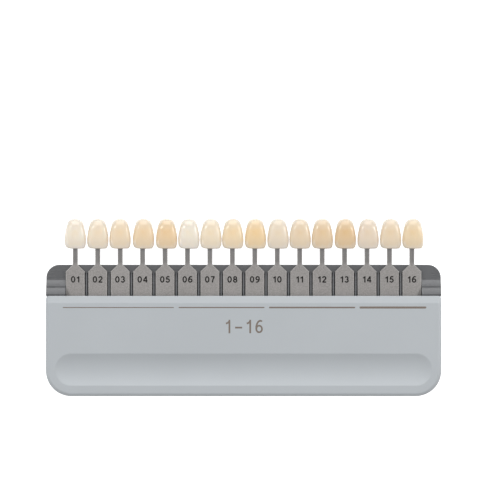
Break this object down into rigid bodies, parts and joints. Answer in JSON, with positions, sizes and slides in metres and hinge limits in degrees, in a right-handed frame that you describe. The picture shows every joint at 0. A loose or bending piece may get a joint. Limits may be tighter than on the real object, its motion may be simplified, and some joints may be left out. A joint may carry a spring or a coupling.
{
  "type": "dental shade guide",
  "caption": "Flat hand-held holder with a row of pull-out metal tabs, each carrying a sample tooth for matching tooth colour.",
  "frame": {"origin": "centre of the holder's flat back face", "axes": "+X along the holder, +Y towards the teeth, +Z out of the front face"},
  "size_m": [0.176, 0.079, 0.0096],
  "materials": {
    "cover_plastic": "satin light grey",
    "rail_plastic": "glossy dark grey",
    "spring_steel": "rolled strip",
    "carrier_metal": "blasted matte",
    "tooth_ceramic": "glazed"
  },
  "bodies": {
    "holder": {"back_cover": "cover_plastic", "front_cover": "cover_plastic", "tab_rail": "rail_plastic", "spring_strip": "spring_steel"},
    "tab_01": {"carrier_01": "carrier_metal", "tooth_01": "tooth_ceramic"},
    "tab_02": {"carrier_02": "carrier_metal", "tooth_02": "tooth_ceramic"},
    "tab_03": {"carrier_03": "carrier_metal", "tooth_03": "tooth_ceramic"},
    "tab_04": {"carrier_04": "carrier_metal", "tooth_04": "tooth_ceramic"},
    "tab_05": {"carrier_05": "carrier_metal", "tooth_05": "tooth_ceramic"},
    "tab_06": {"carrier_06": "carrier_metal", "tooth_06": "tooth_ceramic"},
    "tab_07": {"carrier_07": "carrier_metal", "tooth_07": "tooth_ceramic"},
    "tab_08": {"carrier_08": "carrier_metal", "tooth_08": "tooth_ceramic"},
    "tab_09": {"carrier_09": "carrier_metal", "tooth_09": "tooth_ceramic"},
    "tab_10": {"carrier_10": "carrier_metal", "tooth_10": "tooth_ceramic"},
    "tab_11": {"carrier_11": "carrier_metal", "tooth_11": "tooth_ceramic"},
    "tab_12": {"carrier_12": "carrier_metal", "tooth_12": "tooth_ceramic"},
    "tab_13": {"carrier_13": "carrier_metal", "tooth_13": "tooth_ceramic"},
    "tab_14": {"carrier_14": "carrier_metal", "tooth_14": "tooth_ceramic"},
    "tab_15": {"carrier_15": "carrier_metal", "tooth_15": "tooth_ceramic"},
    "tab_16": {"carrier_16": "carrier_metal", "tooth_16": "tooth_ceramic"}
  },
  "joints": [
    {"name": "tab_01_slide", "type": "slide", "parent": "holder", "child": "tab_01", "axis": [0, 1, 0], "range_m": [0, 0.025]},
    {"name": "tab_02_slide", "type": "slide", "parent": "holder", "child": "tab_02", "axis": [0, 1, 0], "range_m": [0, 0.025]},
    {"name": "tab_03_slide", "type": "slide", "parent": "holder", "child": "tab_03", "axis": [0, 1, 0], "range_m": [0, 0.025]},
    {"name": "tab_04_slide", "type": "slide", "parent": "holder", "child": "tab_04", "axis": [0, 1, 0], "range_m": [0, 0.025]},
    {"name": "tab_05_slide", "type": "slide", "parent": "holder", "child": "tab_05", "axis": [0, 1, 0], "range_m": [0, 0.025]},
    {"name": "tab_06_slide", "type": "slide", "parent": "holder", "child": "tab_06", "axis": [0, 1, 0], "range_m": [0, 0.025]},
    {"name": "tab_07_slide", "type": "slide", "parent": "holder", "child": "tab_07", "axis": [0, 1, 0], "range_m": [0, 0.025]},
    {"name": "tab_08_slide", "type": "slide", "parent": "holder", "child": "tab_08", "axis": [0, 1, 0], "range_m": [0, 0.025]},
    {"name": "tab_09_slide", "type": "slide", "parent": "holder", "child": "tab_09", "axis": [0, 1, 0], "range_m": [0, 0.025]},
    {"name": "tab_10_slide", "type": "slide", "parent": "holder", "child": "tab_10", "axis": [0, 1, 0], "range_m": [0, 0.025]},
    {"name": "tab_11_slide", "type": "slide", "parent": "holder", "child": "tab_11", "axis": [0, 1, 0], "range_m": [0, 0.025]},
    {"name": "tab_12_slide", "type": "slide", "parent": "holder", "child": "tab_12", "axis": [0, 1, 0], "range_m": [0, 0.025]},
    {"name": "tab_13_slide", "type": "slide", "parent": "holder", "child": "tab_13", "axis": [0, 1, 0], "range_m": [0, 0.025]},
    {"name": "tab_14_slide", "type": "slide", "parent": "holder", "child": "tab_14", "axis": [0, 1, 0], "range_m": [0, 0.025]},
    {"name": "tab_15_slide", "type": "slide", "parent": "holder", "child": "tab_15", "axis": [0, 1, 0], "range_m": [0, 0.025]},
    {"name": "tab_16_slide", "type": "slide", "parent": "holder", "child": "tab_16", "axis": [0, 1, 0], "range_m": [0, 0.025]}
  ]
}
